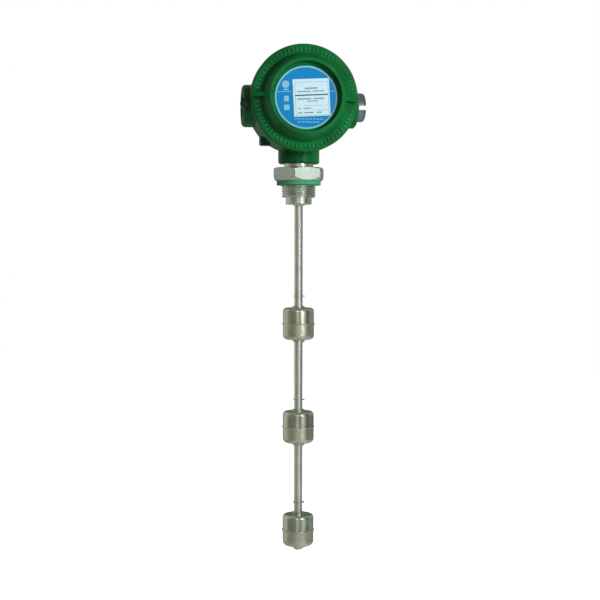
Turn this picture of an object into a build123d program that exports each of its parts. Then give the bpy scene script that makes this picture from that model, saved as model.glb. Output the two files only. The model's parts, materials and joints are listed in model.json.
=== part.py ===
from build123d import *
from math import cos, radians, sin
import os

os.makedirs("parts", exist_ok=True)

# Magnetic level switch: a cast round head on a threaded process plug, with three
# floats on one stem. The origin is on the tank's sealing plane, under the gasket.
# +Z runs up through the head, the stem hangs along -Z and the screw cover faces -Y.

# Process connection
gasket_thickness = 4.2
gasket_radius = 21.2
gasket_bore_radius = 16.9
gasket_edge = 0.6
process_thread_radius = 16.62
process_thread_length = 11.6
process_thread_chamfer = 1.0
relief_radius = 15.2
hex_width = 45.0
hex_height = 12.7
hex_turn = 15.0
hex_face_inset = 0.4
hex_lower_chamfer = 3.4
hex_upper_chamfer = 1.4
spigot_radius = 12.5
spigot_length = 6.7
weld_radius = 6.2
weld_length = 1.5
weld_toe = 0.5
nipple_radius = 14.0
nipple_exposed = 3.6
nipple_engaged = 15.0
nipple_chamfer = 1.2
nipple_bore_radius = 9.0
nipple_bore_depth = 20.0
wire_passage_radius = 3.2

# Stem, reed switches and clips
stem_radius = 4.0
stem_wall = 1.0
stem_socket_depth = 24.0
insertion_length = 352.5
stem_stub = 1.5
weld_fit = 0.03
end_plug_depth = 5.0
end_plug_cap = 1.0
end_chamfer = 0.5
clip_thickness = 0.8
clip_groove_depth = 0.3
clip_play = 0.05
clip_width = 1.25
clip_opening = 2.6
clip_lug_radius = 0.85
clip_lug_reach = 0.2
clip_slot_width = 1.3
clip_slot_length = 4.5
clip_lug_hole = 0.4
reed_board_width = 4.2
reed_board_thickness = 0.8
reed_board_offset = 0.9
reed_board_headroom = 8.0
reed_glass_radius = 1.0
reed_glass_length = 12.0
reed_lead_radius = 0.25
reed_lead_length = 4.0
reed_glass_round = 0.5

# Floats
float_count = 3
float_pitch = 100.0
float_travel = 9.0
float_gap = 0.1
float_radius = 15.0
float_half_height = 17.0
float_wall = 0.7
float_end_slope = 0.8
float_collar_height = 1.2
float_collar_width = 0.9
float_upper_shoulder = 3.4
float_lower_shoulder = 4.6
seam_overlap = 0.6
seam_half_height = 0.7
seam_round = 0.4
bore_tube_wall = 0.5
bore_clearance = 0.4
magnet_width = 4.2
magnet_height = 9.0

# Head: drum, neck and conduit bosses
drum_radius = 48.0
drum_back = 28.0
drum_back_round = 6.0
seat_front = 26.0
flange_wall = 7.0
chamber_wall = 10.0
back_wall = 7.0
thread_bore_depth = 15.0
neck_length = 10.8
neck_boss_radius = 19.8
neck_chamfer = 1.4
boss_radius = 20.1
boss_length = 6.8
boss_drop = 4.1
boss_chamfer = 2.0
casting_fillet = 1.5
conduit_bore_radius = 12.1
plug_bore_radius = 12.4
foot_width = 12.0
foot_height = 14.0
foot_depth = 14.0
foot_round = 2.0
foot_reach = 36.2
foot_drop = 40.4

# Screw cover
cover_overhang = 2.0
seat_clearance = 0.1
thread_clearance = 0.05
rim_depth = 19.0
rim_width = 8.7
rim_round = 2.6
cover_boss_rise = 15.0
cover_boss_taper = 6.7
cover_boss_round = 2.0
cover_root_round = 1.5
recess_edge_round = 0.8
recess_floor_round = 1.0
rim_back_round = 1.0
spigot_lead_round = 0.8
recess_ring_width = 3.0
recess_depth = 7.0
recess_draft = 0.6
spigot_depth = 14.0
spigot_wall = 5.5
cover_floor = 5.0
cover_hollow_step = 4.5
cover_hollow_round = 3.0
rib_width = 4.0
rib_rise = 2.6
rib_turn = 2.5
rib_foot_inset = 3.0
rib_head_inset = 0.5
rib_head_drop = 3.0
rib_end_inset = 1.0
o_ring_radius = 1.2
o_ring_room = 0.3
o_ring_setback = 1.0

# Label and plate on the cover
label_thickness = 0.4
label_side_gap = 2.6
label_drop = 0.8
label_turn = 3.0
plate_width = 33.8
plate_height = 34.3
plate_thickness = 0.4
plate_corner = 0.6
plate_shift = 4.9

# Stopping plug in the right boss
plug_thread_clearance = 0.05
plug_thread_length = 14.0
plug_head_radius = 13.8
plug_head_length = 7.7
plug_head_round = 2.2
plug_socket_width = 12.0
plug_socket_depth = 5.5
plug_seal_thickness = 1.0
plug_seal_inset = 0.3

# Screws and terminals in the head
screw_clearance = 0.05
lock_screw_radius = 2.0
lock_hole_wall = 1.5
lock_head_radius = 2.6
lock_head_height = 2.4
lock_head_round = 0.4
lock_socket_width = 2.5
lock_socket_depth = 1.5
lock_gap = 0.5
lock_drop = 4.0
lock_ear_radius = 5.0
gland_collar_radius = 17.5
post_radius = 4.0
terminal_rise = 6.0
terminal_plate_width = 56.0
terminal_plate_height = 22.0
terminal_plate_thickness = 3.0
terminal_plate_front = 9.0
terminal_plate_corner = 3.0
plate_hole_edge = 4.0
terminal_block_gap = 1.2
terminal_block_height = 15.0
terminal_block_depth = 11.0
terminal_count = 6
terminal_end_wall = 0.8
terminal_pocket_wall = 1.2
terminal_pocket_height = 9.0
terminal_pocket_depth = 4.5
terminal_screw_gap = 0.5
terminal_screw_height = 1.6
terminal_slot_width = 0.6
terminal_slot_depth = 0.7
plate_screw_radius = 1.5
plate_screw_head_radius = 2.8
plate_screw_head_height = 2.0
plate_screw_grip = 6.0
earth_screw_radius = 2.5
earth_screw_grip = 5.0
earth_head_radius = 4.0
earth_head_height = 3.0
earth_slot_width = 1.0
earth_slot_depth = 1.0
earth_washer_radius = 5.2
earth_washer_thickness = 1.0
earth_pad_radius = 6.5
earth_pad_rise = 1.5
earth_wall_gap = 1.0
wire_count = 4
wire_radius = 0.42
wire_spacing = 1.0
wire_bend = 8.0
wire_rise = 6.0
wire_setback = 3.0

# Heights and depths worked out from the sizes above
hex_bottom = gasket_thickness
hex_top = hex_bottom + hex_height
neck_bottom = hex_top + nipple_exposed
nipple_top = neck_bottom + nipple_engaged
spigot_bottom = -process_thread_length - spigot_length
stem_top = spigot_bottom + stem_socket_depth
stem_bottom = -insertion_length
drum_height = neck_bottom + neck_length + drum_radius
boss_height = drum_height - boss_drop
boss_reach = drum_radius + boss_length

thread_bore_radius = drum_radius - flange_wall
chamber_radius = drum_radius - chamber_wall
chamber_floor = drum_back - back_wall
cover_seat = seat_front + seat_clearance
cover_radius = drum_radius + cover_overhang
cover_spigot_radius = thread_bore_radius - thread_clearance
rim_front = cover_seat + rim_depth
cover_boss_front = rim_front + cover_boss_rise
cover_boss_root = cover_radius - rim_width
recess_ring_radius = cover_boss_root - cover_boss_taper
recess_radius = recess_ring_radius - recess_ring_width
label_floor = cover_boss_front - recess_depth
label_radius = recess_radius - label_side_gap
spigot_end = cover_seat - spigot_depth
hollow_radius = cover_spigot_radius - spigot_wall
hollow_floor = label_floor - cover_floor

float_lowest_seam = stem_bottom + stem_stub + clip_thickness + float_gap + float_half_height
float_seams = [float_lowest_seam + float_pitch * step for step in reversed(range(float_count))]
clip_middle = float_half_height + float_gap + clip_thickness / 2
bore_radius = stem_radius + bore_clearance
bore_tube_radius = bore_radius + bore_tube_wall
groove_radius = stem_radius - clip_groove_depth
stem_bore_radius = stem_radius - stem_wall

earth_offset = (chamber_radius - earth_head_radius - earth_wall_gap) * cos(radians(45))
post_spacing = terminal_plate_width - 2 * plate_hole_edge
terminal_block_width = post_spacing - 2 * (plate_screw_head_radius + terminal_block_gap)
terminal_pitch = (terminal_block_width - 2 * terminal_end_wall) / terminal_count
terminal_pocket_width = terminal_pitch - terminal_pocket_wall
terminal_screw_radius = terminal_pocket_width / 2 - terminal_screw_gap

# Working plane and axis of the head
head_plane = Plane.XY.offset(drum_height)
head_axis = Axis((0, 0, drum_height), (0, 1, 0))


def facing_front(distance, height):
    """Plane seen from the front: local x is X, local y is Z, and it faces -Y."""
    return Plane(origin=(0, -distance, height), x_dir=(1, 0, 0), z_dir=(0, -1, 0))


def facing_back(distance, height):
    """Plane seen from behind: local x is -X, local y is Z, and it faces +Y."""
    return Plane(origin=(0, distance, height), x_dir=(-1, 0, 0), z_dir=(0, 1, 0))


def facing_right(distance, height):
    """Plane seen from the right: local x is Y, local y is Z, and it faces +X."""
    return Plane(origin=(distance, 0, height), x_dir=(0, 1, 0), z_dir=(1, 0, 0))


# Head casting
lock_centre = cover_radius + lock_gap + lock_head_radius
lock_height = drum_height - lock_drop
# The ear ends in front of the collar of the gland that screws into the left boss
lock_ear_depth = seat_front - gland_collar_radius
lock_screw_length = lock_ear_depth - lock_hole_wall - screw_clearance
terminal_height = drum_height + terminal_rise
post_front = terminal_plate_front + terminal_plate_thickness
post_places = [(-post_spacing / 2, 0), (post_spacing / 2, 0)]

with BuildPart() as housing_body:
    with BuildSketch(head_plane):
        with BuildLine():
            FilletPolyline(
                (0, -seat_front),
                (drum_radius, -seat_front),
                (drum_radius, drum_back),
                (0, drum_back),
                radius=(0, 0, drum_back_round, 0),
                close=True,
            )
        make_face()
    revolve(axis=head_axis)
    with BuildSketch(Plane.XY.offset(neck_bottom)):
        Circle(neck_boss_radius)
    extrude(amount=drum_height - neck_bottom)
    with BuildSketch(facing_right(-boss_reach, boss_height)):
        Circle(boss_radius)
    extrude(amount=2 * boss_reach)
    neck_edge = housing_body.edges().filter_by(GeomType.CIRCLE).sort_by(Axis.Z)[0]
    boss_edges = housing_body.edges().filter_by(GeomType.CIRCLE).sort_by(Axis.X)
    chamfer(neck_edge, neck_chamfer)
    chamfer([boss_edges[0], boss_edges[-1]], boss_chamfer)
    # Where the neck and the bosses grow out of the drum
    junctions = housing_body.edges().filter_by(GeomType.BSPLINE)
    fillet(junctions, casting_fillet)
    # Squared foot of the casting, low on the left and towards the back
    with BuildSketch(facing_back(drum_back - drum_back_round, drum_height)):
        with Locations((foot_reach - foot_width / 2, -foot_drop + foot_height / 2)):
            RectangleRounded(foot_width, foot_height, foot_round)
    extrude(amount=-foot_depth)
    # Ear for the screw that locks the cover
    with BuildSketch(facing_front(seat_front, lock_height)):
        with Locations((-lock_centre, 0)):
            Circle(lock_ear_radius)
        with Locations(((-lock_centre - chamber_radius) / 2, 0)):
            Rectangle(lock_centre - chamber_radius, 2 * lock_ear_radius)
    extrude(amount=-lock_ear_depth)
    with BuildSketch(facing_back(drum_back, drum_height)):
        with Locations((-earth_offset, -earth_offset)):
            Circle(earth_pad_radius)
    extrude(amount=earth_pad_rise)
    # Wiring chamber with the cover's thread bore in its mouth
    with BuildSketch(head_plane):
        with BuildLine():
            Polyline(
                (0, -seat_front),
                (thread_bore_radius, -seat_front),
                (thread_bore_radius, thread_bore_depth - seat_front),
                (chamber_radius, thread_bore_depth - seat_front),
                (chamber_radius, chamber_floor),
                (0, chamber_floor),
                close=True,
            )
        make_face()
    revolve(axis=head_axis, mode=Mode.SUBTRACT)
    # Bores: neck, cable entry on the left and stopping plug on the right
    with BuildSketch(Plane.XY.offset(neck_bottom)):
        Circle(nipple_radius + weld_fit)
    extrude(amount=drum_height - neck_bottom, mode=Mode.SUBTRACT)
    with BuildSketch(facing_right(-boss_reach, boss_height)):
        Circle(conduit_bore_radius)
    extrude(amount=boss_reach, mode=Mode.SUBTRACT)
    with BuildSketch(facing_right(boss_reach, boss_height)):
        Circle(plug_bore_radius)
    extrude(amount=-boss_reach, mode=Mode.SUBTRACT)
    # Posts and the inner earth pad stand on the chamber's floor
    with BuildSketch(facing_front(-chamber_floor, terminal_height)):
        with Locations(*post_places):
            Circle(post_radius)
    extrude(amount=chamber_floor - post_front)
    with BuildSketch(facing_front(-chamber_floor, drum_height)):
        with Locations((-earth_offset, -earth_offset)):
            Circle(earth_pad_radius)
    extrude(amount=earth_pad_rise)
    # Screw holes
    with BuildSketch(facing_front(-post_front, terminal_height)):
        with Locations(*post_places):
            Circle(plate_screw_radius + screw_clearance)
    extrude(amount=-plate_screw_grip - screw_clearance, mode=Mode.SUBTRACT)
    with BuildSketch(facing_front(earth_pad_rise - chamber_floor, drum_height)):
        with Locations((-earth_offset, -earth_offset)):
            Circle(earth_screw_radius + screw_clearance)
    extrude(amount=-earth_screw_grip - screw_clearance, mode=Mode.SUBTRACT)
    with BuildSketch(facing_back(drum_back + earth_pad_rise, drum_height)):
        with Locations((-earth_offset, -earth_offset)):
            Circle(earth_screw_radius + screw_clearance)
    extrude(amount=-earth_screw_grip - screw_clearance, mode=Mode.SUBTRACT)
    with BuildSketch(facing_front(seat_front, lock_height)):
        with Locations((-lock_centre, 0)):
            Circle(lock_screw_radius + screw_clearance)
    extrude(amount=-lock_screw_length - screw_clearance, mode=Mode.SUBTRACT)

housing_body.part.label = "housing_body"
export_step(housing_body.part, "parts/housing_body.step")

# Screw that locks the cover, backed off beside the rim
with BuildPart() as cover_lock_screw:
    with BuildSketch(facing_front(seat_front, lock_height)):
        with Locations((-lock_centre, 0)):
            Circle(lock_head_radius)
    extrude(amount=lock_head_height)
    fillet(cover_lock_screw.faces().sort_by(Axis.Y)[0].edges(), lock_head_round)
    with BuildSketch(facing_front(seat_front, lock_height)):
        with Locations((-lock_centre, 0)):
            Circle(lock_screw_radius)
    extrude(amount=-lock_screw_length)
    with BuildSketch(facing_front(seat_front + lock_head_height, lock_height)):
        with Locations((-lock_centre, 0)):
            RegularPolygon(lock_socket_width / 2, 6, major_radius=False)
    extrude(amount=-lock_socket_depth, mode=Mode.SUBTRACT)

cover_lock_screw.part.label = "cover_lock_screw"
export_step(cover_lock_screw.part, "parts/cover_lock_screw.step")

# Earth terminals: a screw and washer outside, and a screw inside the chamber
with BuildPart() as earth_washer:
    with BuildSketch(facing_back(drum_back + earth_pad_rise, drum_height)):
        with Locations((-earth_offset, -earth_offset)):
            Circle(earth_washer_radius)
            Circle(earth_screw_radius + screw_clearance, mode=Mode.SUBTRACT)
    extrude(amount=earth_washer_thickness)

earth_washer.part.label = "earth_washer"
export_step(earth_washer.part, "parts/earth_washer.step")

earth_head_seat = drum_back + earth_pad_rise + earth_washer_thickness
with BuildPart() as earth_screw:
    with BuildSketch(facing_back(earth_head_seat, drum_height)):
        with Locations((-earth_offset, -earth_offset)):
            RegularPolygon(earth_head_radius, 6, major_radius=False)
    extrude(amount=earth_head_height)
    with BuildSketch(facing_back(earth_head_seat, drum_height)):
        with Locations((-earth_offset, -earth_offset)):
            Circle(earth_screw_radius)
    extrude(amount=-earth_screw_grip - earth_washer_thickness)

earth_screw.part.label = "earth_screw"
export_step(earth_screw.part, "parts/earth_screw.step")

with BuildPart() as inner_earth_screw:
    with BuildSketch(facing_front(earth_pad_rise - chamber_floor, drum_height)):
        with Locations((-earth_offset, -earth_offset)):
            Circle(earth_head_radius)
    extrude(amount=earth_head_height)
    with BuildSketch(facing_front(earth_pad_rise - chamber_floor, drum_height)):
        with Locations((-earth_offset, -earth_offset)):
            Circle(earth_screw_radius)
    extrude(amount=-earth_screw_grip)
    with BuildSketch(facing_front(earth_pad_rise + earth_head_height - chamber_floor, drum_height)):
        with Locations((-earth_offset, -earth_offset)):
            Rectangle(2 * earth_head_radius, earth_slot_width)
    extrude(amount=-earth_slot_depth, mode=Mode.SUBTRACT)

inner_earth_screw.part.label = "inner_earth_screw"
export_step(inner_earth_screw.part, "parts/inner_earth_screw.step")

# Terminal plate on the two posts, with its screws
with BuildPart() as terminal_plate:
    with BuildSketch(facing_front(-post_front, terminal_height)):
        RectangleRounded(terminal_plate_width, terminal_plate_height, terminal_plate_corner)
        with Locations(*post_places):
            Circle(plate_screw_radius + screw_clearance, mode=Mode.SUBTRACT)
    extrude(amount=terminal_plate_thickness)

terminal_plate.part.label = "terminal_plate"
export_step(terminal_plate.part, "parts/terminal_plate.step")

with BuildPart() as plate_screws:
    with BuildSketch(facing_front(-terminal_plate_front, terminal_height)):
        with Locations(*post_places):
            Circle(plate_screw_head_radius)
    extrude(amount=plate_screw_head_height)
    with BuildSketch(facing_front(-terminal_plate_front, terminal_height)):
        with Locations(*post_places):
            Circle(plate_screw_radius)
    extrude(amount=-terminal_plate_thickness - plate_screw_grip)

plate_screws.part.label = "plate_screws"
export_step(plate_screws.part, "parts/plate_screws.step")

# Terminal block: one moulding with a pocket and a screw for each pole
terminal_front = terminal_block_depth - terminal_plate_front
with BuildPart() as terminal_block:
    with BuildSketch(facing_front(-terminal_plate_front, terminal_height)):
        Rectangle(terminal_block_width, terminal_block_height)
    extrude(amount=terminal_block_depth)
    with BuildSketch(facing_front(terminal_front, terminal_height)):
        with GridLocations(terminal_pitch, 1, terminal_count, 1):
            Rectangle(terminal_pocket_width, terminal_pocket_height)
    extrude(amount=-terminal_pocket_depth, mode=Mode.SUBTRACT)

terminal_block.part.label = "terminal_block"
export_step(terminal_block.part, "parts/terminal_block.step")

with BuildPart() as terminal_screws:
    with BuildSketch(facing_front(terminal_front - terminal_pocket_depth, terminal_height)):
        with GridLocations(terminal_pitch, 1, terminal_count, 1):
            Circle(terminal_screw_radius)
    extrude(amount=terminal_screw_height)
    screw_top = terminal_front - terminal_pocket_depth + terminal_screw_height
    with BuildSketch(facing_front(screw_top, terminal_height)):
        with GridLocations(terminal_pitch, 1, terminal_count, 1):
            Rectangle(2 * terminal_screw_radius, terminal_slot_width)
    extrude(amount=-terminal_slot_depth, mode=Mode.SUBTRACT)

terminal_screws.part.label = "terminal_screws"
export_step(terminal_screws.part, "parts/terminal_screws.step")

# Process plug, turned from hexagon bar: nipple, hexagon, thread and spigot
hex_corner = hex_width / 2 / cos(radians(30))
hex_face_radius = hex_width / 2 - hex_face_inset
nipple_bore_floor = nipple_top - nipple_bore_depth

with BuildPart() as hex_plug:
    with BuildSketch(Plane.XY.offset(hex_bottom)):
        RegularPolygon(hex_width / 2, 6, major_radius=False, rotation=hex_turn)
    extrude(amount=hex_height)
    with BuildSketch(Plane.XZ):
        with BuildLine():
            Polyline(
                (0, hex_bottom),
                (hex_face_radius, hex_bottom),
                (hex_corner, hex_bottom + hex_lower_chamfer),
                (hex_corner, hex_top - hex_upper_chamfer),
                (hex_face_radius, hex_top),
                (0, hex_top),
                close=True,
            )
        make_face()
    revolve(axis=Axis.Z, mode=Mode.INTERSECT)
    with BuildSketch(Plane.XZ):
        with BuildLine():
            Polyline(
                (0, spigot_bottom - weld_length),
                (stem_radius + weld_toe, spigot_bottom - weld_length),
                (weld_radius, spigot_bottom),
                (spigot_radius, spigot_bottom),
                (spigot_radius, -process_thread_length),
                (process_thread_radius - process_thread_chamfer, -process_thread_length),
                (process_thread_radius, process_thread_chamfer - process_thread_length),
                (process_thread_radius, 0),
                (relief_radius, 0),
                (relief_radius, hex_bottom),
                (nipple_radius, hex_top),
                (nipple_radius, nipple_top - nipple_chamfer),
                (nipple_radius - nipple_chamfer, nipple_top),
                (0, nipple_top),
                close=True,
            )
        make_face()
    revolve(axis=Axis.Z)
    with BuildSketch(Plane.XZ):
        with BuildLine():
            Polyline(
                (0, spigot_bottom - weld_length),
                (stem_radius + weld_fit, spigot_bottom - weld_length),
                (stem_radius + weld_fit, stem_top),
                (wire_passage_radius, stem_top),
                (wire_passage_radius, nipple_bore_floor),
                (nipple_bore_radius, nipple_bore_floor),
                (nipple_bore_radius, nipple_top),
                (0, nipple_top),
                close=True,
            )
        make_face()
    revolve(axis=Axis.Z, mode=Mode.SUBTRACT)

hex_plug.part.label = "hex_plug"
export_step(hex_plug.part, "parts/hex_plug.step")

with BuildPart() as process_gasket:
    with BuildSketch():
        Circle(gasket_radius)
        Circle(gasket_bore_radius, mode=Mode.SUBTRACT)
    extrude(amount=gasket_thickness)
    outer_edges = process_gasket.edges().filter_by(GeomType.CIRCLE).group_by(SortBy.RADIUS)[-1]
    fillet(outer_edges, gasket_edge)

process_gasket.part.label = "process_gasket"
export_step(process_gasket.part, "parts/process_gasket.step")

# Stem tube with a groove for each clip, and the plug that closes its end
clip_heights = [seam - clip_middle for seam in float_seams]
clip_heights += [seam + float_travel + clip_middle for seam in float_seams]
groove_width = clip_thickness + 2 * clip_play

with BuildPart() as stem_tube:
    with BuildSketch(Plane.XY.offset(stem_bottom + end_plug_cap)):
        Circle(stem_radius)
        Circle(stem_bore_radius, mode=Mode.SUBTRACT)
    extrude(amount=stem_top - stem_bottom - end_plug_cap)
    for clip_height in clip_heights:
        with BuildSketch(Plane.XY.offset(clip_height - groove_width / 2)):
            Circle(stem_radius + stem_wall)
            Circle(groove_radius, mode=Mode.SUBTRACT)
        extrude(amount=groove_width, mode=Mode.SUBTRACT)

stem_tube.part.label = "stem_tube"
export_step(stem_tube.part, "parts/stem_tube.step")

with BuildPart() as stem_end_plug:
    with BuildSketch(Plane.XY.offset(stem_bottom)):
        Circle(stem_radius)
    extrude(amount=end_plug_cap)
    chamfer(stem_end_plug.faces().sort_by(Axis.Z)[0].edges(), end_chamfer)
    with BuildSketch(Plane.XY.offset(stem_bottom + end_plug_cap)):
        Circle(stem_bore_radius - weld_fit)
    extrude(amount=end_plug_depth)

stem_end_plug.part.label = "stem_end_plug"
export_step(stem_end_plug.part, "parts/stem_end_plug.step")

# Reed board standing on the end plug, and one glass switch at each float
board_bottom = stem_bottom + end_plug_cap + end_plug_depth
board_top = float_seams[0] + float_travel + float_half_height + reed_board_headroom
board_face = reed_board_offset - reed_board_thickness / 2

with BuildPart() as reed_board:
    with BuildSketch(Plane.XY.offset(board_bottom)):
        with Locations((0, reed_board_offset)):
            Rectangle(reed_board_width, reed_board_thickness)
    extrude(amount=board_top - board_bottom)

reed_board.part.label = "reed_board"
export_step(reed_board.part, "parts/reed_board.step")

reed_depth = board_face - reed_glass_radius
for number, seam in enumerate(float_seams, start=1):
    switch_middle = seam + float_travel / 2
    glass_half = reed_glass_length / 2
    with BuildPart() as reed_switch:
        with BuildSketch(Plane.XZ.offset(-reed_depth)):
            with BuildLine():
                FilletPolyline(
                    (0, switch_middle - glass_half - reed_lead_length),
                    (reed_lead_radius, switch_middle - glass_half - reed_lead_length),
                    (reed_lead_radius, switch_middle - glass_half),
                    (reed_glass_radius, switch_middle - glass_half),
                    (reed_glass_radius, switch_middle + glass_half),
                    (reed_lead_radius, switch_middle + glass_half),
                    (reed_lead_radius, switch_middle + glass_half + reed_lead_length),
                    (0, switch_middle + glass_half + reed_lead_length),
                    radius=(0, 0, 0, reed_glass_round, reed_glass_round, 0, 0, 0),
                    close=True,
                )
            make_face()
        revolve(axis=Axis((0, reed_depth, 0), (0, 0, 1)))
    reed_switch.part.label = f"reed_switch_{number}"
    export_step(reed_switch.part, f"parts/reed_switch_{number}.step")

# Wires from the top of the board to the middle terminals
wire_exit = nipple_top + wire_rise
wire_end = terminal_height - terminal_block_height / 2
wire_depth = wire_setback - terminal_front

with BuildPart() as lead_wires:
    for number in range(wire_count):
        place = number - (wire_count - 1) / 2
        wire_start = (place * wire_spacing, reed_board_offset, board_top)
        terminal_x = place * terminal_pitch
        with BuildLine() as wire_route:
            FilletPolyline(
                wire_start,
                (place * wire_spacing, reed_board_offset, wire_exit),
                (terminal_x, wire_depth, wire_end - wire_rise),
                (terminal_x, wire_depth, wire_end),
                radius=wire_bend,
            )
        with BuildSketch(Plane(origin=wire_start, z_dir=(0, 0, 1))):
            Circle(wire_radius)
        sweep(path=wire_route.line)

lead_wires.part.label = "lead_wires"
export_step(lead_wires.part, "parts/lead_wires.step")

# Retaining clips above and below each float, with two lugs at the opening
clip_inner = groove_radius + clip_play
clip_outer = clip_inner + clip_width
lug_place = clip_outer + clip_lug_reach
for number, seam in enumerate(float_seams, start=1):
    stops = {"lower": seam - clip_middle, "upper": seam + float_travel + clip_middle}
    for side, clip_height in stops.items():
        with BuildPart() as stop_clip:
            with BuildSketch(Plane.XY.offset(clip_height - clip_thickness / 2)):
                Circle(clip_outer)
                with Locations((lug_place, clip_opening / 2), (lug_place, -clip_opening / 2)):
                    Circle(clip_lug_radius)
                Circle(clip_inner, mode=Mode.SUBTRACT)
                with Locations((lug_place, 0)):
                    Rectangle(clip_slot_length, clip_slot_width, mode=Mode.SUBTRACT)
                with Locations((lug_place, clip_opening / 2), (lug_place, -clip_opening / 2)):
                    Circle(clip_lug_hole, mode=Mode.SUBTRACT)
            extrude(amount=clip_thickness)
        stop_clip.part.label = f"stop_clip_{side}_{number}"
        export_step(stop_clip.part, f"parts/stop_clip_{side}_{number}.step")

# Floats: two pressed shells welded at a seam, a bore tube and a ring magnet
shell_fit = bore_tube_radius + weld_fit
collar_radius = shell_fit + float_collar_width
end_height = float_half_height - float_collar_height
shoulder_height = end_height - float_end_slope
inner_radius = float_radius - float_wall

for number, seam in enumerate(float_seams, start=1):
    shoulders = {"upper": (1, float_upper_shoulder), "lower": (-1, float_lower_shoulder)}
    for side, (way, shoulder) in shoulders.items():
        with BuildPart() as shell:
            with BuildSketch(Plane.XZ):
                with BuildLine():
                    FilletPolyline(
                        (float_radius + seam_overlap, seam),
                        (float_radius + seam_overlap, seam + way * seam_half_height),
                        (float_radius, seam + way * seam_half_height),
                        (float_radius, seam + way * shoulder_height),
                        (collar_radius, seam + way * end_height),
                        (collar_radius, seam + way * float_half_height),
                        (shell_fit, seam + way * float_half_height),
                        (shell_fit, seam + way * (end_height - float_wall)),
                        (inner_radius, seam + way * (shoulder_height - float_wall)),
                        (inner_radius, seam),
                        radius=(0, seam_round, 0, shoulder, 0, 0, 0, 0, shoulder - float_wall, 0),
                        close=True,
                    )
                make_face()
            revolve(axis=Axis.Z)
        shell.part.label = f"float_{number}_{side}_shell"
        export_step(shell.part, f"parts/float_{number}_{side}_shell.step")
    with BuildPart() as bore_tube:
        with BuildSketch(Plane.XY.offset(seam - float_half_height)):
            Circle(bore_tube_radius)
            Circle(bore_radius, mode=Mode.SUBTRACT)
        extrude(amount=2 * float_half_height)
    bore_tube.part.label = f"float_{number}_bore_tube"
    export_step(bore_tube.part, f"parts/float_{number}_bore_tube.step")
    with BuildPart() as magnet:
        with BuildSketch(Plane.XY.offset(seam - magnet_height / 2)):
            Circle(shell_fit + magnet_width)
            Circle(shell_fit, mode=Mode.SUBTRACT)
        extrude(amount=magnet_height)
    magnet.part.label = f"float_{number}_magnet"
    export_step(magnet.part, f"parts/float_{number}_magnet.step")

# Screw cover: spigot, rim, raised boss with the label recess, and two ribs
groove_floor = cover_spigot_radius - 2 * o_ring_radius - 2 * o_ring_room
groove_front = cover_seat - o_ring_setback
groove_back = groove_front - 2 * (o_ring_radius + o_ring_room)
o_ring_middle = (groove_front + groove_back) / 2
o_ring_centre = groove_floor + o_ring_room + o_ring_radius
turn = radians(rib_turn)
rib_plane = Plane(
    origin=(0, 0, drum_height),
    x_dir=(cos(turn), 0, -sin(turn)),
    z_dir=(sin(turn), 0, cos(turn)),
)

with BuildPart() as housing_cover:
    with BuildSketch(head_plane):
        with BuildLine():
            FilletPolyline(
                (0, -label_floor),
                (recess_radius, -label_floor),
                (recess_radius + recess_draft, -cover_boss_front),
                (recess_ring_radius, -cover_boss_front),
                (cover_boss_root, -rim_front),
                (cover_radius, -rim_front),
                (cover_radius, -cover_seat),
                (cover_spigot_radius, -cover_seat),
                (cover_spigot_radius, -groove_front),
                (groove_floor, -groove_front),
                (groove_floor, -groove_back),
                (cover_spigot_radius, -groove_back),
                (cover_spigot_radius, -spigot_end),
                (hollow_radius, -spigot_end),
                (hollow_radius, -rim_front),
                (hollow_radius - cover_hollow_step, -hollow_floor),
                (0, -hollow_floor),
                radius=(
                    0,
                    recess_floor_round,
                    recess_edge_round,
                    cover_boss_round,
                    cover_root_round,
                    rim_round,
                    rim_back_round,
                    0,
                    0,
                    0,
                    0,
                    0,
                    spigot_lead_round,
                    0,
                    cover_hollow_round,
                    cover_hollow_round,
                    0,
                ),
                close=True,
            )
        make_face()
    revolve(axis=head_axis)
    with BuildSketch(rib_plane):
        with BuildLine():
            Polyline(
                (cover_boss_root - rib_foot_inset, rim_round - rim_front),
                (recess_ring_radius - rib_head_inset, rib_head_drop - cover_boss_front),
                (cover_radius - rib_end_inset, -rim_front - rib_rise),
                (cover_radius - rib_end_inset, rim_round - rim_front),
                close=True,
            )
        make_face()
        mirror(about=Plane.YZ)
    extrude(amount=rib_width / 2, both=True)

housing_cover.part.label = "housing_cover"
export_step(housing_cover.part, "parts/housing_cover.step")

with BuildPart() as cover_o_ring:
    with BuildSketch(head_plane):
        with Locations((o_ring_centre, -o_ring_middle)):
            Circle(o_ring_radius)
    revolve(axis=head_axis)

cover_o_ring.part.label = "cover_o_ring"
export_step(cover_o_ring.part, "parts/cover_o_ring.step")

# Label foil and data plate in the cover's recess
label_middle = drum_height - label_drop
with BuildPart() as label_disc:
    with BuildSketch(facing_front(label_floor, label_middle)):
        Circle(label_radius)
    extrude(amount=label_thickness)

label_disc.part.label = "label_disc"
export_step(label_disc.part, "parts/label_disc.step")

with BuildPart() as data_plate:
    with BuildSketch(facing_front(label_floor + label_thickness, label_middle)):
        with Locations(Location((plate_shift, 0), label_turn)):
            RectangleRounded(plate_width, plate_height, plate_corner)
    extrude(amount=plate_thickness)

data_plate.part.label = "data_plate"
export_step(data_plate.part, "parts/data_plate.step")

# Stopping plug and its seal in the right boss
seal_outer = plug_head_radius - plug_seal_inset
plug_thread_radius = plug_bore_radius - plug_thread_clearance
head_start = boss_reach + plug_seal_thickness
head_end = head_start + plug_head_length

with BuildPart() as plug_seal:
    with BuildSketch(facing_right(boss_reach, boss_height)):
        Circle(seal_outer)
        Circle(plug_bore_radius + plug_seal_inset, mode=Mode.SUBTRACT)
    extrude(amount=plug_seal_thickness)

plug_seal.part.label = "plug_seal"
export_step(plug_seal.part, "parts/plug_seal.step")

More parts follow.
